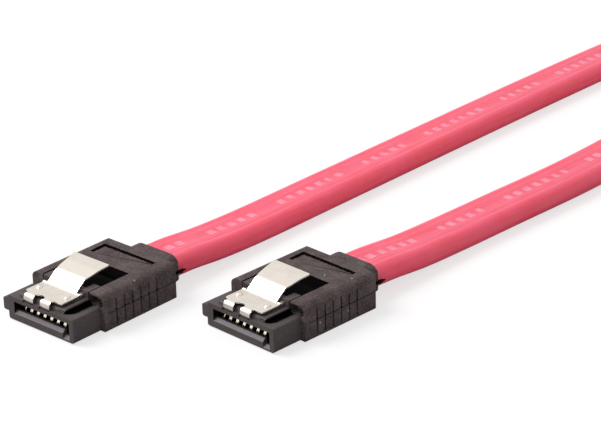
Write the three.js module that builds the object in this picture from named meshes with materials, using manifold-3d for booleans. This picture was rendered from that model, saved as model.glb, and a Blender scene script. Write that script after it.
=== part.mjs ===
// A serial data cable for a drive: two latching plugs joined by one flat cable. Millimetres, +Z up.
// Each plug is drawn in its own frame: X along the contact row, Y from the mating face back to the
// cable, Z up from the underside of the grip. The part's origin lies under the middle of the two plugs.
import * as THREE from "three";
import { mergeVertices } from "three/addons/utils/BufferGeometryUtils.js";
import Module from "manifold-3d";

const wasm = await Module();
wasm.setup();

// Driving dimensions.
const PITCH = 1.27; // contact spacing of this connector standard
const CONTACTS = 7;
const ROW_X = -0.8; // middle of the contact row

const NOSE_WIDTH = 12.2;
const NOSE_DEPTH = 5; // from the mating face to the grip
const NOSE_BASE = 0.12; // the nose rides this far above the grip's underside
const NOSE_TOP = 3.46;
const NOSE_ROUND = 0.3;
const SLOT_END = 0.39; // from the first contact to the slot's left end
const KEY_END = 2.34; // from the last contact to the key's right end
const SLOT_FLOOR = 0.8;
const SLOT_ROOF = 2.8;
const SLOT_DEPTH = 5.5;
const SLOT_WALL = 0.3; // round the slot behind the nose
const BAR_TOP = 1.5; // the bar closes the lower half of the slot, left of the key
const BAR_THICK = 0.8;
const BAR_BEVEL = 0.42;
const KEY_WIDTH = 1.25;
const RIB = { width: 0.95, low: 1.2, high: 3 };

const CLIP_X = -0.35; // middle of the latch clip, its platform and the window over it
const SHEET = 0.2;
const PLATE_Z = 4.4; // mid-plane of the clip's plate
const RAMP_START = 4.15; // where the plate turns up into the ramp
const PLATFORM_TOP = 4;
const PLATFORM_HALF = 4.2;
const PRONG_INNER = 0.66;
const PRONG_OUTER = 2.4;
const PRONG_SHIFT = -0.45; // the two hooks sit to one side of the clip's middle
const PRONG_ARCH = { half: 0.85, reach: 0.5, at: 0.8 }; // the wide round end of the gap between them
const WING_HALF = 3.45;
const RAMP_HALF = 2.7;
const TAB_HALF = 3.25;
const RAMP_TOP = { y: 6.1, z: 5.9 };
const TAB_TIP = { y: 9.95, z: 6.7 };
const EAR_BACK = 5.9;
const EAR_SLIT = 0.18; // between each ear and the ramp

const GRIP_WIDTH = 13.7;
const GRIP_HEIGHT = 5.1;
const GRIP_LENGTH = 13.65;
const GRIP_ROUND = { low: 0.4, high: 1.25, back: 1.1 };
const GROOVES = { count: 6, first: 2.1, pitch: 1.475, width: 0.3, depth: 0.2, low: 0.5, high: 4.25 };
const PANEL = { half: 4.8, front: 8.85, length: 2.8, depth: 0.28 };
const WINDOW_RIGHT = 4.55; // from the clip's middle; its left wall follows the platform
const WINDOW_LENGTH = 7.1;
const COLLAR = { left: 0.45, right: 0.4, low: 0.5, high: 4.7, length: 1.9, round: 1.8 }; // round the cable

const CABLE_WIDTH = 7.8;
const CABLE_THICK = 3.1;
const CABLE_IN = 2.5; // how far the jacket goes into the collar
const CABLE_X = 0.85; // the cable and its collar sit a little to one side
const CABLE_Z = 2.6;

const GAP = 0.3; // between pieces that meet
const FIT = 0.15; // between pieces that lie one in the other
const SNUG = 0.1; // between the jacket and its collar
const SEAM = 0.05; // between the nose's shoulder and the grip

// Where each plug's cable leaves its collar, and the way the plug is turned.
const PLUGS = [
  { tag: "a", x: -10.57, y: 2.75, turn: 0 },
  { tag: "b", x: 12.18, y: 17.23, turn: -3.16 },
];

// The cable's axis from plug a to plug b: x, y, z and the lean of its flat face, in degrees.
// It lies flat, passes the tie, then stands on edge round the end loop and comes back the same way.
const exitOf = ({ x, y }) => [x, y, CABLE_Z, 0];
const tuckedIn = ({ x, y, turn }) => {
  const angle = THREE.MathUtils.degToRad(turn);
  return [x + CABLE_IN * Math.sin(angle), y - CABLE_IN * Math.cos(angle), CABLE_Z, 0];
};
const [PLUG_A, PLUG_B] = PLUGS;
const ROUTE = [
  tuckedIn(PLUG_A),
  exitOf(PLUG_A),
  [-10.59, 6.7, 2.46, 0],
  [-10.58, 12.7, 1.92, 0],
  [-10.54, 20.2, 1.64, 0],
  [-10.47, 37.2, 1.58, 0],
  [-10.02, 86.2, 1.58, 0],
  [-9.42, 107.2, 1.62, 0],
  [-7.82, 125.2, 1.9, 0],
  [-6.22, 138.2, 2.75, 0],
  [-5.82, 148.2, 2.9, 0],
  [-5.82, 158.2, 2.8, 3],
  [-6.02, 169.2, 2.36, 16],
  [-7.92, 182.2, 3.4, 46],
  [-12.92, 195.6, 3.94, 76],
  [-19.72, 207.1, 3.9, 90],
  [-22.32, 220.6, 3.9, 90],
  [-19.52, 231.1, 3.9, 90],
  [-11.82, 238.8, 3.9, 90],
  [-1.32, 241.6, 3.9, 90],
  [9.18, 238.8, 3.9, 90],
  [16.88, 231.1, 3.9, 90],
  [19.68, 220.6, 3.9, 90],
  [17.08, 207.1, 3.9, 90],
  [10.28, 195.6, 3.94, 76],
  [5.28, 182.2, 3.4, 46],
  [3.38, 169.2, 2.36, 16],
  [3.18, 158.2, 2.8, 3],
  [3.18, 148.2, 2.9, 0],
  [3.88, 135.2, 2.75, 0],
  [6.58, 121.2, 1.9, 0],
  [10.58, 103.2, 1.62, 0],
  [13.78, 84.2, 1.58, 0],
  [14.38, 65.2, 1.57, 0],
  [13.48, 47.2, 1.58, 0],
  [12.88, 35.2, 1.64, 0],
  [12.64, 27.6, 1.92, 0],
  [12.43, 21.6, 2.46, 0],
  exitOf(PLUG_B),
  tuckedIn(PLUG_B),
];
const ROUTE_STEPS = 78;
const TIE = { place: 148.2, width: 4.6, thick: 1, head: { length: 6, width: 5.4, height: 3.4 } };

// Materials.
const plastic = (color, roughness) => new THREE.MeshStandardMaterial({ color, roughness, metalness: 0 });
const metal = (color, roughness) => new THREE.MeshStandardMaterial({ color, roughness, metalness: 1 });
const NOSE_FINISH = plastic(0x232022, 0.5);
const GRIP_FINISH = plastic(0x2b2725, 0.7);
const JACKET_FINISH = plastic(0xe8476a, 0.45);
const TIE_FINISH = plastic(0x1d1b1c, 0.5);
const WIRE_FINISH = plastic(0xd8d4cc, 0.5);
const DRAIN_FINISH = metal(0xc9c2b8, 0.4);
const CLIP_FINISH = metal(0xdcd5c8, 0.35);
const CONTACT_FINISH = metal(0xe8dcc0, 0.25);

// Solids.
const toSolid = (geometry) => {
  const bare = geometry.clone();
  bare.deleteAttribute("normal");
  bare.deleteAttribute("uv");
  const merged = mergeVertices(bare, 1e-4);
  const vertProperties = merged.attributes.position.array;
  const triVerts = new Uint32Array(merged.index.array);
  return new wasm.Manifold(new wasm.Mesh({ numProp: 3, vertProperties, triVerts }));
};
const toGeometry = (solid) => {
  const mesh = solid.getMesh();
  const geometry = new THREE.BufferGeometry();
  geometry.setAttribute("position", new THREE.BufferAttribute(new Float32Array(mesh.vertProperties), 3));
  geometry.setIndex(new THREE.BufferAttribute(new Uint32Array(mesh.triVerts), 1));
  geometry.computeVertexNormals();
  return geometry;
};
const join = (...geometries) => toGeometry(geometries.map(toSolid).reduce((a, b) => a.add(b)));
const cut = (body, ...tools) =>
  toGeometry(tools.map(toSolid).reduce((a, b) => a.subtract(b), toSolid(body)));
const common = (...geometries) => toGeometry(geometries.map(toSolid).reduce((a, b) => a.intersect(b)));

// A block between two values on each axis.
const block = ([x0, x1], [y0, y1], [z0, z1]) =>
  new THREE.BoxGeometry(x1 - x0, y1 - y0, z1 - z0).translate((x0 + x1) / 2, (y0 + y1) / 2, (z0 + z1) / 2);

const shapeOf = (points) => new THREE.Shape(points.map(([u, v]) => new THREE.Vector2(u, v)));
const extrude = (shape, depth, curveSegments) =>
  new THREE.ExtrudeGeometry(shape, { depth, curveSegments, steps: 1, bevelEnabled: false });

// A shape drawn in plan and raised from z0 to z1.
const raised = (shape, [z0, z1], segments = 4) => extrude(shape, z1 - z0, segments).translate(0, 0, z0);
const AXES = {
  side: new THREE.Matrix4().makeBasis(
    new THREE.Vector3(0, 1, 0),
    new THREE.Vector3(0, 0, 1),
    new THREE.Vector3(1, 0, 0),
  ),
  front: new THREE.Matrix4().makeBasis(
    new THREE.Vector3(1, 0, 0),
    new THREE.Vector3(0, 0, 1),
    new THREE.Vector3(0, -1, 0),
  ),
};
// A shape drawn seen from the side (y, z) and pulled from x0 to x1.
const pulled = (shape, [x0, x1], segments = 4) =>
  extrude(shape, x1 - x0, segments).applyMatrix4(AXES.side).translate(x0, 0, 0);
// A shape drawn seen from the front (x, z) and pulled from y0 to y1.
const driven = (shape, [y0, y1], segments = 4) =>
  extrude(shape, y1 - y0, segments).applyMatrix4(AXES.front).translate(0, y1, 0);

// A rectangle with one radius at each corner, from the lower left one round against the clock.
function roundedRect([u0, u1], [v0, v1], radii) {
  const [a, b, c, d] = Array.isArray(radii) ? radii : [radii, radii, radii, radii];
  const shape = new THREE.Shape();
  const quarter = Math.PI / 2;
  const corner = (u, v, r, start) => {
    if (r > 0) shape.absarc(u, v, r, start, start + quarter, false);
    else shape.lineTo(u, v);
  };
  shape.moveTo(u0 + a, v0);
  shape.lineTo(u1 - b, v0);
  corner(u1 - b, v0 + b, b, -quarter);
  shape.lineTo(u1, v1 - c);
  corner(u1 - c, v1 - c, c, 0);
  shape.lineTo(u0 + d, v1);
  corner(u0 + d, v1 - d, d, quarter);
  shape.lineTo(u0, v0 + a);
  corner(u0 + a, v0 + a, a, 2 * quarter);
  return shape;
}

// The outline of a bent strip of one thickness along a line of points.
function stripShape(line, thickness) {
  const points = line.map(([u, v]) => new THREE.Vector2(u, v));
  const normals = points.slice(1).map((p, i) => {
    const run = p.clone().sub(points[i]).normalize();
    return new THREE.Vector2(-run.y, run.x);
  });
  const offset = (p, i, side) => {
    const before = normals[Math.max(i - 1, 0)];
    const after = normals[Math.min(i, normals.length - 1)];
    const mean = before.clone().add(after).normalize();
    return p.clone().addScaledVector(mean, (side * thickness) / 2 / mean.dot(after));
  };
  const left = points.map((p, i) => offset(p, i, 1));
  const right = points.map((p, i) => offset(p, i, -1)).reverse();
  return new THREE.Shape([...left, ...right]);
}

const contactX = (index) => ROW_X + (index - (CONTACTS - 1) / 2) * PITCH;
const slotLeft = contactX(0) - SLOT_END;
const slotRight = contactX(CONTACTS - 1) + KEY_END;
const windowBack = NOSE_DEPTH + WINDOW_LENGTH;
const gripBack = NOSE_DEPTH + GRIP_LENGTH;
const collarBack = gripBack + COLLAR.length;
const jacketEnd = collarBack - CABLE_IN;

// Inner housing: the body that goes behind the nose into the grip.
const REAR_BODY = {
  half: Math.max(-slotLeft, slotRight) + SLOT_WALL,
  low: SLOT_FLOOR - SLOT_WALL,
  high: NOSE_TOP - 0.06,
  back: windowBack - 1.15,
};
const CHANNEL = { half: 0.48, low: 1.15, high: 2.2 };

function noseHousing() {
  const outer = driven(
    roundedRect([-NOSE_WIDTH / 2, NOSE_WIDTH / 2], [NOSE_BASE, NOSE_TOP], NOSE_ROUND),
    [0, NOSE_DEPTH - SEAM],
  );
  const noseLeft = -NOSE_WIDTH / 2;
  const rib = driven(
    roundedRect([noseLeft - RIB.width, noseLeft + 0.5], [RIB.low, RIB.high], [0.3, 0, 0, 0.3]),
    [0, NOSE_DEPTH - SEAM],
    2,
  );
  const rear = block(
    [-REAR_BODY.half, REAR_BODY.half],
    [NOSE_DEPTH - 0.5, REAR_BODY.back],
    [REAR_BODY.low, REAR_BODY.high],
  );

  // Platform with its rounded front, from just behind the lip to the back of the window.
  const side = new THREE.Shape();
  side.moveTo(0.62, NOSE_TOP - 0.3);
  side.lineTo(REAR_BODY.back, NOSE_TOP - 0.3);
  side.lineTo(REAR_BODY.back, PLATFORM_TOP);
  side.lineTo(1.5, PLATFORM_TOP);
  side.bezierCurveTo(1, PLATFORM_TOP, 0.66, PLATFORM_TOP - 0.22, 0.62, NOSE_TOP);
  const platform = pulled(side, [CLIP_X - PLATFORM_HALF, CLIP_X + PLATFORM_HALF], 5);

  // Guide blocks: a post outside each ear of the clip, with a roof over the ear.
  const roof = PLATE_Z + SHEET / 2 + 0.1;
  const post = WING_HALF + FIT;
  const guides = [-1, 1].map((hand) => {
    const outline = [
      [post, PLATFORM_TOP - 0.2],
      [PLATFORM_HALF, PLATFORM_TOP - 0.2],
      [PLATFORM_HALF, GRIP_HEIGHT - 0.1],
      [RAMP_HALF + 0.35, GRIP_HEIGHT - 0.1],
      [RAMP_HALF + 0.35, roof],
      [post, roof],
    ].map(([u, v]) => [CLIP_X + hand * u, v]);
    return driven(shapeOf(hand < 0 ? outline.reverse() : outline), [NOSE_DEPTH, NOSE_DEPTH + 2.2]);
  });

  // The mating slot, the key's leg, and the bevels at their mouths.
  const hollow = block([slotLeft, slotRight], [BAR_THICK, SLOT_DEPTH], [SLOT_FLOOR, SLOT_ROOF]);
  const mouth = block([slotLeft, slotRight], [-1, BAR_THICK + 0.1], [BAR_TOP, SLOT_ROOF]);
  const key = block([slotRight - KEY_WIDTH, slotRight], [-1, BAR_THICK + 0.1], [SLOT_FLOOR, SLOT_ROOF]);
  const bevel = (edge, depth) =>
    shapeOf([
      [-0.1, edge - depth - 0.1],
      [depth + 0.1, edge + 0.1],
      [-0.1, edge + 0.1],
    ]);
  const barBevel = pulled(bevel(BAR_TOP, BAR_BEVEL), [slotLeft, slotRight - KEY_WIDTH + 0.1]);
  const keyBevel = pulled(bevel(SLOT_FLOOR, BAR_BEVEL), [slotRight - KEY_WIDTH, slotRight]);
  const channels = Array.from({ length: CONTACTS }, (_, i) =>
    block(
      [contactX(i) - CHANNEL.half, contactX(i) + CHANNEL.half],
      [SLOT_DEPTH - 0.1, REAR_BODY.back + 1],
      [CHANNEL.low, CHANNEL.high],
    ),
  );

  // Notches in the lip for the clip's hooks.
  const notches = [-1, 1].map((hand) => {
    const x = [PRONG_INNER - FIT, PRONG_OUTER + FIT].map((u) => CLIP_X + PRONG_SHIFT + hand * u);
    return block(x.sort((p, q) => p - q), [-1, 0.62], [NOSE_TOP - 0.26, NOSE_TOP + 1]);
  });

  // The hollow beside the platform: it undercuts the platform and slopes up to the shoulder, and
  // its front runs back in a curve.
  const pocketX = CLIP_X + PLATFORM_HALF;
  const pocketY = [BAR_THICK - 0.05, NOSE_DEPTH + 0.4];
  const pocketSection = driven(
    shapeOf([
      [pocketX - 1.1, SLOT_ROOF + 0.2],
      [pocketX + 0.3, SLOT_ROOF + 0.2],
      [pocketX + 1.7, NOSE_TOP + 0.05],
      [pocketX + 1.7, PLATFORM_TOP - 0.22],
      [pocketX - 1.1, PLATFORM_TOP - 0.22],
    ]),
    pocketY,
  );
  const pocketPlan = new THREE.Shape()
    .moveTo(pocketX + 2, pocketY[1])
    .lineTo(pocketX - 1.2, pocketY[1])
    .lineTo(pocketX - 1.2, pocketY[0])
    .lineTo(pocketX, pocketY[0])
    .bezierCurveTo(pocketX + 0.9, pocketY[0], pocketX + 0.8, pocketY[0] + 1.2, pocketX + 2, pocketY[0] + 2);
  const pocket = common(pocketSection, raised(pocketPlan, [SLOT_ROOF, PLATFORM_TOP], 6));
  return cut(join(outer, rib, rear, platform, ...guides), hollow, mouth, key, barBevel, keyBevel, pocket,
    ...channels, ...notches);
}

// A spring contact: solder tail, straight shank, drop into the slot and the raised, rounded tip.
const CONTACT = { half: 0.3, thick: 0.24, tail: REAR_BODY.back + 0.75, shank: 1.9 };
function contact() {
  const line = [
    [1.32, 0.98],
    [1.42, 1.36],
    [1.72, 1.66],
    [2.12, 1.8],
    [2.6, 1.74],
    [4.6, 1.36],
    [5.7, 1.36],
    [6.3, CONTACT.shank],
    [CONTACT.tail, CONTACT.shank],
  ];
  return pulled(stripShape(line, CONTACT.thick), [-CONTACT.half, CONTACT.half]);
}

// The latch clip: two hooks over the lip, plate with two bumps, ears, ramp and thumb tab.
function latchClip() {
  const bent = pulled(
    stripShape(
      [
        [0.36, NOSE_TOP - 0.06],
        [0.24, NOSE_TOP + 0.26],
        [0.32, PLATE_Z - 0.36],
        [0.58, PLATE_Z - 0.12],
        [0.98, PLATE_Z],
        [RAMP_START, PLATE_Z],
        [RAMP_START + 0.25, PLATE_Z + 0.12],
        [RAMP_TOP.y - 0.3, RAMP_TOP.z - 0.18],
        [RAMP_TOP.y + 0.1, RAMP_TOP.z + 0.06],
        [TAB_TIP.y, TAB_TIP.z],
      ],
      SHEET,
    ),
    [-TAB_HALF - 1, TAB_HALF + 1],
  );
  // One side of the plan, from the middle of its front to the middle of the tab's end.
  const planSide = (hand) => {
    const prong = PRONG_OUTER + hand * PRONG_SHIFT;
    return [
      [0, -0.5],
      [prong, -0.5],
      [prong, 0.5],
      [prong - 0.13, 0.78],
      [prong + 0.05, 0.96],
      [(prong + WING_HALF) / 2, 1.02],
      [WING_HALF - 0.2, 1.12],
      [WING_HALF, 1.36],
      [WING_HALF, RAMP_START + 0.15],
      [RAMP_HALF + EAR_SLIT, RAMP_START + 0.15],
      [RAMP_HALF + EAR_SLIT / 2, RAMP_START - 0.05],
      [RAMP_HALF, RAMP_START + 0.15],
      [RAMP_HALF, RAMP_TOP.y],
      [RAMP_HALF + 0.12, RAMP_TOP.y + 0.3],
      [TAB_HALF - 0.2, RAMP_TOP.y + 0.85],
      [TAB_HALF - 0.05, RAMP_TOP.y + 1.3],
      [TAB_HALF, TAB_TIP.y - 0.35],
      [TAB_HALF - 0.1, TAB_TIP.y - 0.12],
      [TAB_HALF - 0.3, TAB_TIP.y + 0.1],
      [0, TAB_TIP.y + 0.1],
    ];
  };
  const left = planSide(-1).map(([u, v]) => [-u, v]).reverse();
  const outline = raised(shapeOf([...planSide(1), ...left.slice(1, -1)]), [NOSE_BASE, TAB_TIP.z + 1]);
  const betweenProngs = raised(
    new THREE.Shape()
      .moveTo(PRONG_SHIFT - PRONG_INNER, -1)
      .lineTo(PRONG_SHIFT + PRONG_INNER, -1)
      .lineTo(PRONG_SHIFT + PRONG_INNER, PRONG_ARCH.at - 0.4)
      .absellipse(PRONG_SHIFT, PRONG_ARCH.at, PRONG_ARCH.half, PRONG_ARCH.reach, 0, Math.PI, false, 0)
      .lineTo(PRONG_SHIFT - PRONG_INNER, PRONG_ARCH.at - 0.4),
    [0, TAB_TIP.z],
    5,
  );
  const ears = [-1, 1].map((hand) => {
    const x = [hand * (RAMP_HALF + EAR_SLIT), hand * WING_HALF].sort((p, q) => p - q);
    return block(x, [RAMP_START + 0.05, EAR_BACK], [PLATE_Z - SHEET / 2, PLATE_Z + SHEET / 2]);
  });
  const bumps = [-1, 1].map((hand) =>
    new THREE.SphereGeometry(1, 10, 8)
      .scale(0.5, 0.62, 0.3)
      .translate(hand * (RAMP_HALF - 0.1), RAMP_START - 1.3, PLATE_Z + SHEET / 4),
  );
  return cut(join(common(bent, outline), ...ears, ...bumps), betweenProngs).translate(CLIP_X, 0, 0);
}

// The moulded grip with its grooves, window, panel recess and rear collar.
function overmould() {
  const half = GRIP_WIDTH / 2;
  const { low, high, back } = GRIP_ROUND;
  const along = driven(
    roundedRect([-half, half], [0, GRIP_HEIGHT], [low, low, high, high]),
    [NOSE_DEPTH, gripBack],
    5,
  );
  const plan = raised(
    roundedRect([-half, half], [NOSE_DEPTH, gripBack], [0.15, 0.15, back, back]),
    [0, GRIP_HEIGHT],
    5,
  );
  const side = pulled(
    roundedRect([NOSE_DEPTH, gripBack], [0, GRIP_HEIGHT], [0.15, 0.8, 0.6, 0.15]),
    [-half, half],
    3,
  );
  const collarX = [CABLE_X - CABLE_WIDTH / 2 - COLLAR.left, CABLE_X + CABLE_WIDTH / 2 + COLLAR.right];
  const collar = driven(
    roundedRect(collarX, [COLLAR.low, COLLAR.high], COLLAR.round),
    [gripBack - 1, collarBack],
    5,
  );
  const collarPlan = raised(
    roundedRect(collarX, [gripBack - 1, collarBack], [0, 0, 0.5, 0.5]),
    [COLLAR.low, COLLAR.high],
    4,
  );
  const body = join(common(along, plan, side), common(collar, collarPlan));

  const grooves = [-1, 1].flatMap((hand) =>
    Array.from({ length: GROOVES.count }, (_, i) => {
      const y = NOSE_DEPTH + GROOVES.first + i * GROOVES.pitch;
      const x = [half - GROOVES.depth, half + 1].map((u) => hand * u).sort((p, q) => p - q);
      return block(x, [y - GROOVES.width / 2, y + GROOVES.width / 2], [GROOVES.low, GROOVES.high]);
    }),
  );
  const panel = block(
    [CLIP_X / 2 - PANEL.half, CLIP_X / 2 + PANEL.half],
    [NOSE_DEPTH + PANEL.front, NOSE_DEPTH + PANEL.front + PANEL.length],
    [GRIP_HEIGHT - PANEL.depth, GRIP_HEIGHT + 1],
  );

  // Inside: the housing's seat, the window over the clip, the wire chamber and the cable's bore.
  const seat = block(
    [-REAR_BODY.half - FIT, REAR_BODY.half + FIT],
    [NOSE_DEPTH - 1, REAR_BODY.back + FIT],
    [REAR_BODY.low - FIT, REAR_BODY.high + FIT],
  );
  const opening = block(
    [CLIP_X - PLATFORM_HALF - FIT, CLIP_X + WINDOW_RIGHT],
    [NOSE_DEPTH - 1, windowBack],
    [REAR_BODY.high - 0.1, GRIP_HEIGHT + 1],
  );
  const widest = Math.max(-contactX(0), contactX(CONTACTS - 1), CABLE_X + CABLE_WIDTH / 2);
  const chamberHalf = widest + CONTACT.half + FIT;
  const chamber = block(
    [-chamberHalf, chamberHalf],
    [REAR_BODY.back - 0.1, jacketEnd - GAP - 0.5],
    [CONTACT.shank - 0.8, CONTACT.shank + 1.1],
  );
  const round = (middle, size) => [middle - size / 2 - SNUG, middle + size / 2 + SNUG];
  const bore = driven(
    roundedRect(round(CABLE_X, CABLE_WIDTH), round(CABLE_Z, CABLE_THICK), CABLE_THICK / 2),
    [jacketEnd - GAP - 0.6, collarBack + 1],
    4,
  );
  // The front face is scooped out behind the housing's hollow, up to a thin rim.
  const scoopX = [CLIP_X + WINDOW_RIGHT - 0.3, half - 0.35];
  const scoop = driven(
    roundedRect(scoopX, [NOSE_TOP - 0.12, GRIP_HEIGHT - 0.3], [0, 0, 0.7, 0]),
    [NOSE_DEPTH - 1, NOSE_DEPTH + 1.3],
    5,
  );
  return cut(body, ...grooves, panel, seat, opening, chamber, bore, scoop);
}

// A lead from the jacket's end to a contact's tail.
function lead(fromX, toX, radius, sides) {
  const round = new THREE.Shape(
    Array.from({ length: sides }, (_, i) => {
      const angle = (i * 2 * Math.PI) / sides;
      return new THREE.Vector2(radius * Math.cos(angle), radius * Math.sin(angle));
    }),
  );
  const start = jacketEnd - GAP;
  const end = CONTACT.tail + GAP;
  const extrudePath = new THREE.CatmullRomCurve3([
    new THREE.Vector3(fromX, start, CABLE_Z - 0.3),
    new THREE.Vector3(fromX, start - 1.2, CABLE_Z - 0.4),
    new THREE.Vector3((fromX + toX) / 2, (start + end) / 2, CONTACT.shank + 0.1),
    new THREE.Vector3(toX, end + 1, CONTACT.shank),
    new THREE.Vector3(toX, end, CONTACT.shank),
  ]);
  return new THREE.ExtrudeGeometry(round, { steps: 8, curveSegments: 1, extrudePath });
}
const jacketEdge = CABLE_WIDTH / 2;
const SIGNAL_LEADS = [
  { from: 1.2 - jacketEdge, to: 1 },
  { from: 2.4 - jacketEdge, to: 2 },
  { from: jacketEdge - 2.4, to: 4 },
  { from: jacketEdge - 1.2, to: 5 },
];
const GROUND_LEADS = [
  { from: 0.45 - jacketEdge, to: 0 },
  { from: 0, to: 3 },
  { from: jacketEdge - 0.45, to: 6 },
];

function plug({ tag, x, y, turn }) {
  const group = new THREE.Group();
  const frame = new THREE.Group();
  const add = (name, geometry, material) => {
    const mesh = new THREE.Mesh(geometry, material.clone());
    mesh.name = `${name}_${tag}`;
    frame.add(mesh);
    return mesh;
  };
  add("nose_housing", noseHousing(), NOSE_FINISH);
  add("overmould", overmould(), GRIP_FINISH);
  add("latch_clip", latchClip(), CLIP_FINISH);
  for (let i = 0; i < CONTACTS; i += 1) {
    add(`contact_${i + 1}`, contact(), CONTACT_FINISH).position.x = contactX(i);
  }
  SIGNAL_LEADS.forEach(({ from, to }, i) =>
    add(`signal_wire_${i + 1}`, lead(CABLE_X + from, contactX(to), 0.42, 8), WIRE_FINISH),
  );
  GROUND_LEADS.forEach(({ from, to }, i) =>
    add(`ground_wire_${i + 1}`, lead(CABLE_X + from, contactX(to), 0.2, 6), DRAIN_FINISH),
  );
  frame.position.set(-CABLE_X, -collarBack, 0);
  group.add(frame);
  group.position.set(x, y, 0);
  group.rotation.z = THREE.MathUtils.degToRad(turn);
  return group;
}

// The flat jacket: two lobes with a shallow groove between them, bent along the route.
function jacket() {
  const r = CABLE_THICK / 2;
  const reach = CABLE_WIDTH / 2 - r;
  const end = (sign) => [-2, -1, 0, 1, 2].map((k) => {
    const angle = (sign * k * Math.PI) / 4;
    return [sign * (reach + r * Math.cos(angle)), r * Math.sin(angle)];
  });
  const section = shapeOf([...end(1), [0, r - 0.18], ...end(-1), [0, 0.18 - r]]);
  const options = { depth: 1, steps: ROUTE_STEPS, bevelEnabled: false };
  const geometry = new THREE.ExtrudeGeometry(section, options);

  const points = ROUTE.map(([x, y, z]) => new THREE.Vector3(x, y, z));
  const axis = new THREE.CatmullRomCurve3(points, false, "centripetal");
  const leanAt = (t) => {
    const place = t * (ROUTE.length - 1);
    const i = Math.min(Math.floor(place), ROUTE.length - 2);
    return THREE.MathUtils.degToRad(THREE.MathUtils.lerp(ROUTE[i][3], ROUTE[i + 1][3], place - i));
  };
  const up = new THREE.Vector3(0, 0, 1);
  const frames = Array.from({ length: ROUTE_STEPS + 1 }, (_, i) => {
    const t = axis.getUtoTmapping(i / ROUTE_STEPS);
    const run = axis.getTangent(t);
    const left = up.clone().cross(run).normalize();
    const rise = run.clone().cross(left).normalize();
    const lean = leanAt(t);
    const normal = rise.multiplyScalar(Math.cos(lean)).addScaledVector(left, Math.sin(lean));
    return { at: axis.getPoint(t), normal, across: normal.clone().cross(run).negate() };
  });
  const position = geometry.attributes.position;
  for (let i = 0; i < position.count; i += 1) {
    const { at, normal, across } = frames[Math.round(position.getZ(i) * ROUTE_STEPS)];
    const [sideways, upward] = [-position.getX(i), position.getY(i)];
    const p = at.clone().addScaledVector(across, sideways).addScaledVector(normal, upward);
    position.setXYZ(i, p.x, p.y, p.z);
  }
  geometry.computeVertexNormals();
  return geometry;
}

// Where the cable's axis crosses one y: once on each run.
const crossings = (y) =>
  ROUTE.slice(1).flatMap((end, i) => {
    const start = ROUTE[i];
    if (start[1] <= y === end[1] <= y) return [];
    const share = (y - start[1]) / (end[1] - start[1]);
    return [start.map((value, k) => value + share * (end[k] - value))];
  });

// The tie: a strap round both runs, with its locking head on top.
function tie() {
  const runs = crossings(TIE.place);
  const across = runs.map(([x]) => x);
  const reach = CABLE_WIDTH / 2 + GAP;
  const inside = {
    x: [Math.min(...across) - reach, Math.max(...across) + reach],
    z: [TIE.thick, Math.max(...runs.map((run) => run[2])) + CABLE_THICK / 2 + GAP],
  };
  const y = [TIE.place - TIE.width / 2, TIE.place + TIE.width / 2];
  const ring = (grow, radius, span) => {
    const [x, z] = [inside.x, inside.z].map(([low, high]) => [low - grow, high + grow]);
    return driven(roundedRect(x, z, radius), span, 4);
  };
  const strap = cut(ring(TIE.thick, 2.4, y), ring(0, 1.4, [y[0] - 1, y[1] + 1]));
  const middle = (inside.x[0] + inside.x[1]) / 2;
  const { length, width, height } = TIE.head;
  const head = block(
    [middle - length / 2, middle + length / 2],
    [TIE.place - width / 2, TIE.place + width / 2],
    [inside.z[1], inside.z[1] + height],
  );
  return join(strap, head);
}

const cable = new THREE.Group();
PLUGS.forEach((place) => cable.add(plug(place)));
[
  ["cable_jacket", jacket(), JACKET_FINISH],
  ["stow_tie", tie(), TIE_FINISH],
].forEach(([name, geometry, material]) => {
  const mesh = new THREE.Mesh(geometry, material);
  mesh.name = name;
  cable.add(mesh);
});

export default cable;
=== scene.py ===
"""A flat serial data cable with a latching plug at each end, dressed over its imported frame.

Metres in the row frame, +Z up. The pieces of a plug are modelled in millimetres on the plug's own
axes, X along the contact row, Y from the mating face back to the cable and Z up from the underside
of the grip. They are then copied to each end of the cable.
"""

import logging
import math
from contextlib import contextmanager
from dataclasses import dataclass
from enum import Enum
from typing import Callable, Iterable, Iterator, Optional, Sequence, Union

import bpy
import numpy as np
from mathutils import Matrix, Vector


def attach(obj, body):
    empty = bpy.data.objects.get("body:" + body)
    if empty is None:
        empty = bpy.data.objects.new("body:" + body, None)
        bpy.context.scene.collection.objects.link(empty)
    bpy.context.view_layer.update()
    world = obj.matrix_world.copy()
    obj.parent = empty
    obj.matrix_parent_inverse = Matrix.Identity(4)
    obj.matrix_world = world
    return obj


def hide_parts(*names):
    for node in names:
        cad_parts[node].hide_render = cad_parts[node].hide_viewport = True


LOG = logging.getLogger("data_cable")

Colour = tuple[float, float, float]
Point = tuple[float, float]
Span = tuple[float, float]
Piece = bpy.types.Object
Choice = Callable[[Vector, Vector], bool]  # picks faces or edges
Term = Union["Signal", float]

MILLIMETRE = 0.001
BODY = "cable_assembly"
CABLE_LENGTH = 0.5  # in metres
COPLANAR = math.radians(0.6)  # faces that meet at less than this are one flat
NEAR = 0.02  # how close to a plane counts as on it, in millimetres


def tone(red: int, green: int, blue: int) -> Colour:
    """A colour as seen on a screen, 0 to 255 a channel, as the linear values that shaders take."""
    channels = (c / 255 for c in (red, green, blue))
    return tuple(c / 12.92 if c <= 0.04045 else ((c + 0.055) / 1.055) ** 2.4 for c in channels)


# ---- Shader maths


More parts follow.
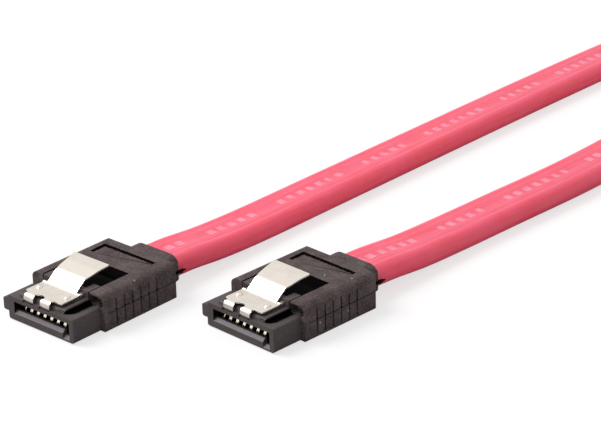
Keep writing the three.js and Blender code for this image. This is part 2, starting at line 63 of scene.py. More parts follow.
class Signal:
    """A socket that shader maths is written with: an expression on it adds its Math nodes."""

    def __init__(self, tree: bpy.types.NodeTree, socket: bpy.types.NodeSocket) -> None:
        """Wraps one output socket of a node in tree."""
        self.tree = tree
        self.socket = socket

    def math(self, operation: str, *values: Term) -> "Signal":
        """Adds one Math node.

        Args:
            operation: the Math node's operation.
            *values: its inputs in order, signals or numbers.

        Returns:
            The node's result.
        """
        node = self.tree.nodes.new("ShaderNodeMath")
        node.operation = operation
        for socket, value in zip(node.inputs, values):
            if isinstance(value, Signal):
                self.tree.links.new(value.socket, socket)
            else:
                socket.default_value = value
        return Signal(self.tree, node.outputs[0])

    def __add__(self, other: Term) -> "Signal":
        """self + other."""
        return self.math("ADD", self, other)

    def __sub__(self, other: Term) -> "Signal":
        """self - other."""
        return self.math("SUBTRACT", self, other)

    def __mul__(self, other: Term) -> "Signal":
        """self * other."""
        return self.math("MULTIPLY", self, other)

    def __mod__(self, other: float) -> "Signal":
        """The remainder of self over other, never negative."""
        return self.math("FLOORED_MODULO", self, other)

    def __lt__(self, other: Term) -> "Signal":
        """1 where self is under other, and 0 elsewhere."""
        return self.math("LESS_THAN", self, other)

    def __gt__(self, other: Term) -> "Signal":
        """1 where self is over other, and 0 elsewhere."""
        return self.math("GREATER_THAN", self, other)

    def __abs__(self) -> "Signal":
        """The size of self without its sign."""
        return self.math("ABSOLUTE", self)

    def ramp(self, low: float, high: float) -> "Signal":
        """0 up to low, 1 from high on and a smooth rise between; high may be the lower one."""
        node = self.tree.nodes.new("ShaderNodeMapRange")
        node.interpolation_type = "SMOOTHSTEP"
        self.tree.links.new(self.socket, node.inputs["Value"])
        node.inputs["From Min"].default_value = low
        node.inputs["From Max"].default_value = high
        return Signal(self.tree, node.outputs[0])


class Graph:
    """The node tree of a material or a world, in the making."""

    def __init__(self, owner: Union[bpy.types.Material, bpy.types.World]) -> None:
        """Empties the owner's node tree."""
        owner.use_nodes = True
        self.tree = owner.node_tree
        self.tree.nodes.clear()

    def add(
        self,
        kind: str,
        settings: Optional[dict[str, object]] = None,
        inputs: Optional[dict[Union[str, int], object]] = None,
        output: Union[str, int] = 0,
    ) -> Signal:
        """Adds one node of any kind.

        Args:
            kind: the node's type, without its ShaderNode prefix.
            settings: attributes of the node, set before its sockets.
            inputs: values or signals for its input sockets, by name or index.
            output: the name or index of the output that is wanted.

        Returns:
            The signal of that output.
        """
        node = self.tree.nodes.new("ShaderNode" + kind)
        for key, value in (settings or {}).items():
            setattr(node, key, value)
        for key, value in (inputs or {}).items():
            if isinstance(value, Signal):
                self.tree.links.new(value.socket, node.inputs[key])
            elif isinstance(value, tuple) and node.inputs[key].type == "RGBA":
                node.inputs[key].default_value = (*value, 1.0)
            else:
                node.inputs[key].default_value = value
        return Signal(self.tree, node.outputs[output])

    def surface(self, kind: str, shader: Signal) -> None:
        """Links a shader to the tree's Material or World output."""
        output = self.tree.nodes.new("ShaderNodeOutput" + kind)
        self.tree.links.new(shader.socket, output.inputs["Surface"])


class Paint(Graph):
    """A material in the making, with its surface shader and its coordinates."""

    def __init__(self, name: str) -> None:
        """Starts an empty material of that name with one Principled shader."""
        self.material = bpy.data.materials.new(name)
        super().__init__(self.material)
        self.shader = self.tree.nodes.new("ShaderNodeBsdfPrincipled")
        self.surface("Material", Signal(self.tree, self.shader.outputs[0]))

    def place(self) -> Signal:
        """The point on the piece, in metres."""
        return self.add("TexCoord", output="Object")

    def noise(self, size: float, detail: float = 3.0, rough: float = 0.55) -> Signal:
        """Cloudy noise from 0 to 1 whose lumps are about size metres across."""
        inputs = {"Vector": self.place(), "Scale": 1 / size, "Detail": detail, "Roughness": rough}
        return self.add("TexNoise", inputs=inputs)

    def mix(self, share: Signal, first: Union[Signal, Colour], second: Union[Signal, Colour]) -> Signal:
        """The colour that goes from first to second as share goes from 0 to 1."""
        return self.add("Mix", {"data_type": "RGBA"}, {0: share, 6: first, 7: second}, 2)

    def set(self, **values: object) -> None:
        """Sets the shader's own sockets; an underscore in a name stands for a space."""
        for key, value in values.items():
            socket = self.shader.inputs[key.replace("_", " ")]
            if isinstance(value, Signal):
                self.tree.links.new(value.socket, socket)
            else:
                socket.default_value = value

    def bump(self, height: Signal, depth: float) -> None:
        """Feeds Normal with a relief of that depth in metres."""
        self.set(Normal=self.add("Bump", inputs={"Height": height, "Distance": depth}))


# ---- Finishes


@dataclass(frozen=True)
class MouldedPlastic:
    """Moulded plastic with a spark-eroded grain, faint mottling and settled dust."""

    name: str
    colour: Colour
    worn: Colour
    roughness: float = 0.6
    specular: float = 0.35
    grain: float = 0.00022
    depth: float = 0.00001
    dust: float = 0.0
    cloud: float = 0.0022
    lint: float = 0.00016
    speck_scale: float = 700.0
    speck_colour: Colour = tone(205, 200, 196)

    def make(self) -> bpy.types.Material:
        """Builds the material; dust is the share of its speck cells that hold a speck."""
        paint = Paint(self.name)
        grain = paint.noise(self.grain, 2.0, 0.6)
        cloud = paint.noise(self.cloud, 4.0, 0.6)
        colour = paint.mix((cloud * 0.45 + grain * 0.55).ramp(0.36, 0.68), self.colour, self.worn)
        if self.dust > 0:
            inputs = {"Vector": paint.place(), "Scale": self.speck_scale}
            near = paint.add("TexVoronoi", inputs=inputs, output="Distance")
            cell = paint.add("TexVoronoi", inputs=inputs, output="Color")
            chance = paint.add("SeparateColor", inputs={0: cell}, output=0)
            speck = (near < paint.noise(self.lint, 2.0) * 0.08 + 0.05) * (chance < self.dust)
            colour = paint.mix(speck * 0.7, colour, self.speck_colour)
        paint.set(
            Base_Color=colour,
            Roughness=(grain - 0.5) * 0.16 + self.roughness,
            Specular_IOR_Level=self.specular,
        )
        paint.bump(grain * 0.7 + cloud * 0.5, self.depth)
        return paint.material


@dataclass(frozen=True)
class PlatedSheet:
    """Thin plated sheet metal with a satin surface, rolled along Y."""

    name: str
    colour: Colour
    shade: Colour
    roughness: float = 0.3
    depth: float = 0.000002

    def make(self) -> bpy.types.Material:
        """Builds the material."""
        paint = Paint(self.name)
        rolled = paint.add("Mapping", inputs={"Vector": paint.place(), "Scale": (1.0, 0.08, 1.0)})
        streak = paint.add("TexNoise", inputs={"Vector": rolled, "Scale": 5200.0, "Detail": 2.0})
        cloud = paint.noise(0.0016, 3.0)
        paint.set(
            Base_Color=paint.mix((cloud * 0.7 + streak * 0.3).ramp(0.3, 0.75), self.colour, self.shade),
            Metallic=1.0,
            Roughness=(streak - 0.5) * 0.14 + (cloud - 0.5) * 0.12 + self.roughness,
        )
        paint.bump(streak, self.depth)
        return paint.material


@dataclass(frozen=True)
class DrawnSkin:
    """A plain drawn skin, such as a wire's insulation or a bare wire."""

    name: str
    colour: Colour
    shade: Colour
    metallic: float
    roughness: float

    def make(self) -> bpy.types.Material:
        """Builds the material."""
        paint = Paint(self.name)
        cloud = paint.noise(0.0009, 2.0)
        paint.set(
            Base_Color=paint.mix(cloud.ramp(0.3, 0.7), self.colour, self.shade),
            Metallic=self.metallic,
            Roughness=(cloud - 0.5) * 0.1 + self.roughness,
        )
        paint.bump(cloud, 0.000004)
        return paint.material


@dataclass(frozen=True)
class FlexibleJacket:
    """The cable's soft jacket, with drawn streaks along it and a row of plain printed bars."""

    name: str
    colour: Colour
    deep: Colour
    print_colour: Colour
    length: float = CABLE_LENGTH
    pitch: float = 0.00205
    roughness: float = 0.4

    def make(self) -> bpy.types.Material:
        """Builds the material. Its UV map runs once round the section in U and once along in V."""
        paint = Paint(self.name)
        unwrapped = paint.add("UVMap", {"uv_map": "run"})
        around = paint.add("SeparateXYZ", inputs={0: unwrapped}, output="X")
        along = paint.add("SeparateXYZ", inputs={0: unwrapped}, output="Y") * self.length
        stretched = paint.add("Mapping", inputs={"Vector": unwrapped, "Scale": (26.0, 34.0, 1.0)})
        drawn = paint.add("TexNoise", inputs={"Vector": stretched, "Scale": 1.6, "Detail": 3.0})
        cloud = paint.noise(0.0045, 3.0)
        skin = paint.mix((drawn * 0.55 + cloud * 0.45).ramp(0.36, 0.66), self.colour, self.deep)
        cell = along.math("FLOOR", along * (1 / self.pitch))
        chance = paint.add("TexWhiteNoise", {"noise_dimensions": "1D"}, {"W": cell}, "Value")
        inside = along % self.pitch
        width = chance * 0.0005 + 0.00085
        bar = (inside - width).ramp(0.0001, -0.0001) * inside.ramp(0.0, 0.0002)
        band = abs(around - 0.25).ramp(0.036, 0.030)
        place = cell % 16.0
        word = (place < 4.0) + (place > 5.5) * (place < 10.5) + (place > 12.5) * (place < 15.5)
        faded = paint.noise(0.0009, 3.0).ramp(0.2, 0.62) * 0.34 + 0.12
        paint.set(
            Base_Color=paint.mix(band * bar * word * faded, skin, self.print_colour),
            Roughness=(drawn - 0.5) * 0.12 + self.roughness,
            Specular_IOR_Level=0.55,
            Subsurface_Weight=1.0,
            Subsurface_Scale=0.003,
            Subsurface_Radius=(1.0, 0.22, 0.2),
        )
        paint.bump(drawn * 0.6 + cloud * 0.8, 0.000035)
        return paint.material


HOUSING = MouldedPlastic(
    "housing_moulding", tone(72, 64, 65), tone(86, 77, 78), 0.5, 0.2, grain=0.0003, depth=0.000006
)
# Bevel plastic, glossier than the housing and painted lighter: partly real polish, partly painted
# highlight.
HOUSING_BEVEL_HIGHLIGHT = MouldedPlastic(
    "housing_bevel_highlight", tone(84, 77, 80), tone(98, 90, 92), 0.42, 0.4, grain=0.0003, depth=0.000006
)
# Near-black painted shade for the slot's inside, the pocket beside the platform and the platform's end
# in the window.
HOUSING_PAINTED_SHADE = MouldedPlastic("housing_painted_shade", tone(12, 10, 10), tone(16, 14, 14), 0.9, 0.05)
GRIP = MouldedPlastic(
    "grip_moulding", tone(72, 61, 61), tone(104, 92, 92), 0.72, 0.1, 0.00032, 0.00002, dust=0.5
)
# Near-black painted shade for the moats, the parting line, the window's inside and the flash.
GRIP_PAINTED_SHADE = MouldedPlastic("grip_painted_shade", tone(12, 9, 9), tone(20, 16, 15), 0.9, 0.05)
NYLON = MouldedPlastic("tie_nylon", tone(34, 32, 33), tone(44, 42, 43), 0.42, 0.45, 0.0004, 0.000005)
CLIP = PlatedSheet("clip_plating", tone(226, 218, 208), tone(211, 203, 192))
CONTACT = PlatedSheet("contact_plating", tone(255, 247, 230), tone(247, 233, 203), 0.24, 0.000001)
INSULATION = DrawnSkin("wire_insulation", tone(214, 210, 202), tone(198, 193, 186), 0.0, 0.5)
DRAIN = DrawnSkin("drain_wire", tone(214, 206, 194), tone(186, 178, 168), 1.0, 0.38)
JACKET = FlexibleJacket("jacket_skin", tone(253, 84, 116), tone(248, 72, 101), tone(255, 186, 212))


# ---- Modelling


class Axis(Enum):
    """The way an outline is pushed: along X from (y, z), along Y from (x, z) or up from (x, y)."""

    X = 0
    Y = 1
    Z = 2

    def point(self, u: float, v: float, w: float) -> Vector:
        """The point at (u, v) of the outline and w along the axis."""
        return Vector(((w, u, v), (u, w, v), (u, v, w))[self.value])


class Bench:
    """Modelling steps done with Blender's own operators, in millimetres."""

    @staticmethod
    def placed(name: str, data: bpy.types.ID) -> Piece:
        """A new object in the scene with that mesh, lamp or camera."""
        piece = bpy.data.objects.new(name, data)
        bpy.context.scene.collection.objects.link(piece)
        return piece

    @staticmethod
    def only(piece: Piece) -> None:
        """Selects that piece alone and makes it the active one."""
        bpy.ops.object.select_all(action="DESELECT")
        piece.select_set(True)
        bpy.context.view_layer.objects.active = piece

    @staticmethod
    @contextmanager
    def editing(piece: Piece) -> Iterator[None]:
        """Edit mode on that piece alone, with its whole mesh selected."""
        Bench.only(piece)
        bpy.ops.object.mode_set(mode="EDIT")
        bpy.ops.mesh.select_all(action="SELECT")
        yield
        bpy.ops.object.mode_set(mode="OBJECT")

    @staticmethod
    def added(name: str, operator: Callable, **settings: object) -> Piece:
        """A primitive added by that operator, with its place and its size applied to its mesh."""
        bpy.ops.object.select_all(action="DESELECT")
        operator(**settings)
        bpy.ops.object.transform_apply(location=True, rotation=True, scale=True)
        piece = bpy.context.active_object
        piece.name = name
        return piece

    @staticmethod
    def slab(name: str, x: Span, y: Span, z: Span) -> Piece:
        """A cube primitive made to fill the space between two values on each axis."""
        middle, scale = zip(*(((a + b) / 2, b - a) for a, b in (x, y, z)))
        return Bench.added(name, bpy.ops.mesh.primitive_cube_add, size=1, location=middle, scale=scale)

    @staticmethod
    def pip(name: str, at: Sequence[float], half: Sequence[float]) -> Piece:
        """A sphere primitive made into a low rounded pip of those half sizes."""
        add = bpy.ops.mesh.primitive_uv_sphere_add
        return Bench.added(name, add, segments=28, ring_count=16, radius=1, location=at, scale=half)

    @staticmethod
    def pushed(name: str, outline: Sequence[Point], axis: Axis, span: Span) -> Piece:
        """A filled circle primitive set on an outline and extruded along an axis.

        Args:
            name: the piece's name.
            outline: the corners in order.
            axis: the way it is pushed.
            span: where the push starts and ends on that axis.

        Returns:
            The closed piece.
        """
        add = bpy.ops.mesh.primitive_circle_add
        piece = Bench.added(name, add, vertices=len(outline), radius=1, fill_type="NGON")
        for vertex, (u, v) in zip(piece.data.vertices, outline):
            vertex.co = axis.point(u, v, span[0])
        push = axis.point(0, 0, span[1] - span[0])
        with Bench.editing(piece):
            bpy.ops.mesh.extrude_region_move(TRANSFORM_OT_translate={"value": push})
            bpy.ops.mesh.select_all(action="SELECT")
            bpy.ops.mesh.normals_make_consistent(inside=False)
        return piece

    @staticmethod
    def edges(piece: Piece, chosen: Choice, radius: float, steps: int) -> None:
        """Bevels the edges for which chosen says yes to their two ends."""
        Bench.only(piece)
        bpy.ops.object.mode_set(mode="EDIT")
        bpy.ops.mesh.select_mode(type="EDGE")
        bpy.ops.mesh.select_all(action="DESELECT")
        bpy.ops.object.mode_set(mode="OBJECT")
        points = piece.data.vertices
        for edge in piece.data.edges:
            edge.select = chosen(points[edge.vertices[0]].co, points[edge.vertices[1]].co)
        bpy.ops.object.mode_set(mode="EDIT")
        bpy.ops.mesh.bevel(offset=radius, segments=steps, profile=0.5, affect="EDGES")
        bpy.ops.object.mode_set(mode="OBJECT")

    @staticmethod
    def modifier(piece: Piece, kind: str, **settings: object) -> None:
        """Adds a modifier with those settings and applies it."""
        Bench.only(piece)
        step = piece.modifiers.new(kind.lower(), kind)
        for key, value in settings.items():
            setattr(step, key, value)
        bpy.ops.object.modifier_apply(modifier=step.name)

    @staticmethod
    def combine(piece: Piece, operation: str, tools: Iterable[Piece]) -> Piece:
        """Joins, cuts or keeps what is common with each tool, and deletes the tool."""
        for tool in tools:
            Bench.modifier(piece, "BOOLEAN", operation=operation, solver="EXACT", object=tool)
            bpy.data.objects.remove(tool)
        return piece

    @staticmethod
    def polish(piece: Piece, width: float, steps: int = 2, angle: float = 38.0) -> Piece:
        """Breaks the edges sharper than angle, in degrees, and shades the piece smoothly."""
        with Bench.editing(piece):
            bpy.ops.mesh.remove_doubles(threshold=0.0005)
            bpy.ops.mesh.dissolve_limited(angle_limit=COPLANAR)
        limit = {"limit_method": "ANGLE", "angle_limit": math.radians(angle)}
        Bench.modifier(piece, "BEVEL", width=width, segments=steps, use_clamp_overlap=True, **limit)
        bpy.ops.object.shade_smooth()
        Bench.modifier(piece, "WEIGHTED_NORMAL", mode="FACE_AREA_WITH_ANGLE", weight=60)
        Bench.modifier(piece, "TRIANGULATE", min_vertices=5, keep_custom_normals=True)
        return piece

    @staticmethod
    def level_tops(piece: Piece, least: float = 0.1) -> None:
        """Shades each top flat over least, in square millimetres, as a plane up to its edges."""
        mesh = piece.data
        normals = [corner.vector.copy() for corner in mesh.corner_normals]
        for face in mesh.polygons:
            if face.normal.z > 0.9999 and face.area > least:
                for corner in face.loop_indices:
                    normals[corner] = face.normal.copy()
        mesh.normals_split_custom_set(normals)

    @staticmethod
    def dress(piece: Piece, finish: bpy.types.Material, chosen: Choice) -> None:
        """Gives a finish to the faces for which chosen says yes to their centre and normal."""
        piece.data.materials.append(finish)
        for face in piece.data.polygons:
            if chosen(face.center, face.normal):
                face.material_index = len(piece.data.materials) - 1

    @staticmethod
    def merged(name: str, node: str, place: Matrix) -> Piece:
        """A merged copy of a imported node's shape, in millimetres on the axes of a plug.

        Args:
            name: the new piece's name.
            node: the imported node.
            place: the plug's place in the row frame.

        Returns:
            The copy, with its coplanar triangles made one face.
        """
        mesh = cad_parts[node].data.copy()
        mesh.materials.clear()
        mesh.transform(place.inverted())
        piece = Bench.placed(name, mesh)
        with Bench.editing(piece):
            bpy.ops.mesh.remove_doubles(threshold=0.002)
            bpy.ops.mesh.dissolve_limited(angle_limit=COPLANAR)
            bpy.ops.mesh.normals_make_consistent(inside=False)
        return piece


def eased(line: Sequence[Point], reach: float, steps: int = 5) -> list[Point]:
    """A line of points with each inner corner turned into a short curve.

    Args:
        line: the corners in order.
        reach: how far from the corner the curve starts and ends.
        steps: how many parts the curve has.

    Returns:
        The points of the eased line.
    """
    points = [Vector(p) for p in line]
    made = [points[0]]
    for before, corner, after in zip(points, points[1:], points[2:]):
        start = corner + (before - corner).normalized() * min(reach, (before - corner).length * 0.45)
        end = corner + (after - corner).normalized() * min(reach, (after - corner).length * 0.45)
        for k in range(steps + 1):
            t = k / steps
            made.append(start * (1 - t) ** 2 + corner * 2 * t * (1 - t) + end * t * t)
    return [tuple(p) for p in [*made, points[-1]]]


def strip(line: Sequence[Point], thickness: float) -> list[Point]:
    """The outline of a strip of that thickness along a line of points."""
    points = [Vector(p) for p in line]
    ways = [(b - a).normalized() for a, b in zip(points, points[1:])]
    sides = [[], []]
    for i, point in enumerate(points):
        before, after = ways[max(i - 1, 0)], ways[min(i, len(ways) - 1)]
        normal = Vector((-before.y - after.y, before.x + after.x)).normalized()
        reach = thickness / 2 / normal.dot(Vector((-after.y, after.x)))
        sides[0].append(tuple(point + normal * reach))
        sides[1].append(tuple(point - normal * reach))
    return sides[0] + sides[1][::-1]


def about(middle: float, half: float) -> Span:
    """The span that reaches half to each side of the middle."""
    return middle - half, middle + half


def rounded_box(x: Span, y: Span, radius: float, steps: int = 6) -> list[Point]:
    """A rectangle's outline with round corners."""
    corners = [(x[1], y[0], -90), (x[1], y[1], 0), (x[0], y[1], 90), (x[0], y[0], 180)]
    made = []
    for u, v, start in corners:
        middle = (u - math.copysign(radius, u - sum(x) / 2), v - math.copysign(radius, v - sum(y) / 2))
        for k in range(steps + 1):
            angle = math.radians(start + 90 * k / steps)
            made.append((middle[0] + radius * math.cos(angle), middle[1] + radius * math.sin(angle)))
    return made


def both_sides(span: Span) -> list[Span]:
    """A span right of the middle and the same one left of it, the left one first."""
    return [(-span[1], -span[0]), span]


def within(value: float, span: Span, margin: float = NEAR) -> bool:
    """True where value is inside the span, or out of it by less than the margin."""
    return span[0] - margin < value < span[1] + margin


def enlist(piece: Piece, body: str, node: str) -> None:
    """Hands a finished piece to the frame.

    Args:
        piece: the piece, in the row frame.
        body: the body that it rides on.
        node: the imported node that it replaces, or an empty string.
    """
    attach(piece, body)
    if node:
        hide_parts(node)
    LOG.info("%s: %d faces", piece.name, len(piece.data.polygons))


# ---- The two plugs


@dataclass(frozen=True)
class Berth:
    """Where one plug lies: its mark, the point where its cable leaves it, and its turn."""

    mark: str
    exit: tuple[float, float, float]
    turn: float
    latch: str

    def place(self, cable_x: float, back: float) -> Matrix:
        """The matrix from millimetres on the plug's axes to the row frame.

        Args:
            cable_x: the cable's place across the plug, in millimetres.
            back: where the collar ends, in millimetres behind the mating face.

        Returns:
            The 4 by 4 matrix.
        """
        at = Matrix.Translation((self.exit[0], self.exit[1], 0))
        turn = Matrix.Rotation(math.radians(self.turn), 4, "Z")
        return at @ turn @ Matrix.Scale(MILLIMETRE, 4) @ Matrix.Translation((-cable_x, -back, 0))


BERTHS = (
    Berth("a", (-0.01057, 0.00275, 0.0026), 0.0, "latch_a"),
    Berth("b", (0.01218, 0.01723, 0.0026), -3.16, "latch_b"),
)


@dataclass
class Plug:
    """One plug's pieces, modelled once and copied to both ends of the cable."""

    contacts: int = 7
    pitch: float = 1.27
    row_x: float = -0.8
    clip_x: float = -0.35
    cable_x: float = 0.85
    back: float = 20.55

    def setting(self, master: Piece, slot: str, stands_for: str, latch: bool = False) -> list[Piece]:
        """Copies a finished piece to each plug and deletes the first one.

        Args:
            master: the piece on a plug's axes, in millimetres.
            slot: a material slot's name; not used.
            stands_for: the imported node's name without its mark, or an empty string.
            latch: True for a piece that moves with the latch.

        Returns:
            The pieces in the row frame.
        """
        made = []
        for berth in BERTHS:
            mesh = master.data.copy()
            mesh.transform(berth.place(self.cable_x, self.back))
            piece = Bench.placed(f"{master.name}_{berth.mark}", mesh)
            node = f"{stands_for}_{berth.mark}" if stands_for else ""
            enlist(piece, berth.latch if latch else BODY, node)
            made.append(piece)
        bpy.data.objects.remove(master)
        return made

    def contact_x(self, index: int) -> float:
        """The middle of a contact across the plug."""
        return self.row_x + (index - (self.contacts - 1) / 2) * self.pitch


@dataclass
class Housing(Plug):
    """The hard inner housing, with the mating slot, the key and the seat of the latch."""

    edge: float = 0.07
    slot_x: Span = (-5.0, 5.35)
    slot_z: Span = (0.8, 2.8)
    bar_top: float = 1.5
    bar_bevel: float = 0.42
    bar_back: float = 0.74
    pocket_x: Span = (2.7, 4.2)
    pocket_y: Span = (0.75, 5.4)
    pocket_z: Span = (2.95, 3.8)
    window_y: float = 8.2

    def in_slot(self, at: Vector) -> bool:
        """True for the walls of the slot, which no light reaches; they get painted shade."""
        behind_bar = at.y > self.bar_back or (at.x < self.slot_x[0] + 2 * NEAR and at.y > 0.1)
        return behind_bar and within(at.x, self.slot_x) and within(at.z, self.slot_z)

    def in_pocket(self, at: Vector) -> bool:
        """True for the hollow beside the platform and for the platform's end inside the window, which
        get painted shade.
        """
        spans = zip(at, (self.pocket_x, self.pocket_y, self.pocket_z))
        return all(within(value, span, 0.0) for value, span in spans) or at.y > self.window_y

    def on_bevel(self, at: Vector, facing: Vector) -> bool:
        """True for the polished bevels at the mouth of the slot, which are also painted lighter as a
        painted highlight.
        """
        sloping = facing.z > 0.5 and facing.y < -0.5
        return sloping and at.y < self.bar_bevel and at.z < self.bar_top

    def build(self) -> list[Piece]:
        """Breaks the edges of the housing's shape and dresses it."""
        place = BERTHS[0].place(self.cable_x, self.back)
        body = Bench.merged("plug_housing", "nose_housing_a", place)
        Bench.polish(body, self.edge)
        body.data.materials.append(HOUSING.make())
        # The slot's mouth bevels get a lighter colour as painted highlight.
        Bench.dress(body, HOUSING_BEVEL_HIGHLIGHT.make(), self.on_bevel)
        # Painted shade: the slot, the pocket and the platform's end in the window are given near-black
        # plastic.
        Bench.dress(body, HOUSING_PAINTED_SHADE.make(), lambda at, _: self.in_slot(at) or self.in_pocket(at))
        return self.setting(body, "housing_black", "nose_housing")


@dataclass
class Grip(Plug):
    """The soft-edged moulded grip, with its mould's parting line and a little flash."""

    edge: float = 0.11
    half: float = 6.85
    front: float = 5.0
    rear: float = 18.65
    top: float = 5.1
    corner: float = 1.1
    parting: float = 2.6
    seam_width: float = 0.13
    seam_depth: float = 0.13
    pit: tuple[float, float, float] = (0.34, 0.2, 0.13)
    groove_first: float = 7.1
    groove_pitch: float = 1.475
    grooves: int = 6
    panel_x: Span = (-4.975, 4.625)
    panel_y: Span = (13.85, 16.65)
    panel_floor: float = 4.82
    moat: float = 0.2
    moat_step: float = 0.22
    moat_depth: float = 0.25
    window_x: Span = (-4.7, 4.2)
    window_back: float = 12.1
    flash_x: float = 3.93
    flash_width: float = 0.72
    flash_half: float = 0.12
    flash_reach: tuple[float, ...] = (0.0, 0.42, 0.55, 0.8, 0.62, 1.0, 0.7, 1.18, 0.85, 0.5, 0.3)

    def parting_line(self) -> Piece:
        """The thin ring that cuts the parting line into the sides and the back."""
        height = about(self.parting, self.seam_width / 2)
        out, deep = self.half + 0.5, self.half - self.seam_depth
        outside = rounded_box((-out, out), (self.front + 0.1, self.rear + 0.5), self.corner + 0.5)
        rear = self.rear - self.seam_depth
        inside = rounded_box((-deep, deep), (self.front - 1, rear), self.corner - self.seam_depth)
        ring = Bench.pushed("ring", outside, Axis.Z, height)
        core = Bench.pushed("core", inside, Axis.Z, (height[0] - 1, height[1] + 1))
        return Bench.combine(ring, "DIFFERENCE", [core])

    def crossings(self) -> list[Piece]:
        """A small pit where each groove crosses the parting line."""
        made = []
        deep, half_y, half_z = self.pit
        for x in both_sides((self.half - deep, self.half + 1)):
            for k in range(self.grooves):
                y = about(self.groove_first + k * self.groove_pitch, half_y)
                made.append(Bench.slab("pit", x, y, about(self.parting, half_z)))
        return made

    def moats(self) -> list[Piece]:
        """The ragged groove along the panel's rear and left edges."""
        rng = np.random.default_rng(11)
        z = (self.panel_floor - self.moat_depth, self.top + 1)
        made = []
        for axis, start, end, edge in (
            (Axis.X, self.panel_x[0], self.panel_x[1], self.panel_y[1]),
            (Axis.Y, self.panel_y[0], self.panel_y[1], self.panel_x[0]),
        ):
            away = 1 if axis is Axis.X else -1
            line = np.linspace(start, end, int((end - start) / self.moat_step))
            outline = [(u, edge + away * rng.uniform(0.0, 0.09)) for u in line]
            for u in line[::-1]:
                outline.append((u, edge - away * (self.moat + rng.uniform(-0.08, 0.06))))
            if axis is Axis.Y:
                outline = [(v, u) for u, v in outline]
            made.append(Bench.pushed("moat", outline, Axis.Z, z))
        return made

    def flash(self, hand: int) -> Piece:
        """The ragged web of plastic left at one side of the collar's mouth, on the parting plane."""
        rng = np.random.default_rng(7 + hand)
        side = self.cable_x + hand * self.flash_x
        reach = np.array(self.flash_reach) * (1.0 if hand > 0 else 0.6)
        across = np.linspace(0.0, self.flash_width, len(reach))
        lip, root = self.back - 0.12, self.back - 0.5
        outer = [(side + hand * u, lip + v + rng.uniform(-0.06, 0.06)) for u, v in zip(across, reach)]
        inner = [(side + hand * (self.flash_width - NEAR), root), (side + hand * NEAR, root)]
        height = about(self.parting, self.flash_half)
        web = Bench.pushed("collar_flash", [*outer, *inner], Axis.Z, height)
        for vertex in web.data.vertices:
            vertex.co.z += rng.uniform(-0.07, 0.07)
        return web

    def in_painted_shade(self, at: Vector) -> bool:
        """True for the moats, the parting line and the inside of the window, which get painted shade."""
        (left, _), (low, high) = self.panel_x, self.panel_y
        on_panel = within(at.x, self.panel_x, 0.1) and low - NEAR < at.y < high + 0.1
        if on_panel and at.z < self.top - 0.03:
            return at.z < self.panel_floor - NEAR or at.y > high - NEAR or at.x < left + NEAR
        in_window = within(at.x, self.window_x) and self.front + 0.1 < at.y < self.window_back + NEAR
        if in_window and at.z < self.top - 0.06:
            return True
        outside = at.y > self.front + 0.05 and (abs(at.x) > self.half - 0.5 or at.y > self.rear - 0.3)
        return outside and abs(at.z - self.parting) < self.seam_width / 2 - 0.01

    def build(self) -> list[Piece]:
        """Models the grip and its flash, and dresses them."""
        # hollow is the near-black painted shade for the moats, the parting line, the window's inside and
        # the flash.
        finish, hollow = GRIP.make(), GRIP_PAINTED_SHADE.make()
        place = BERTHS[0].place(self.cable_x, self.back)
        body = Bench.merged("plug_grip", "overmould_a", place)
        Bench.combine(body, "DIFFERENCE", [self.parting_line(), *self.crossings(), *self.moats()])
        Bench.level_tops(Bench.polish(body, self.edge))
        body.data.materials.append(finish)
        Bench.dress(body, hollow, lambda at, _: self.in_painted_shade(at))
        made = self.setting(body, "grip_black", "overmould")
        for hand, side in ((1, "right"), (-1, "left")):
            flash = Bench.polish(self.flash(hand), 0.02, 1)
            flash.name = f"collar_flash_{side}"
            # The flash is painted near-black as shade.
            flash.data.materials.append(hollow)
            made += self.setting(flash, "grip_black", "")
        return made


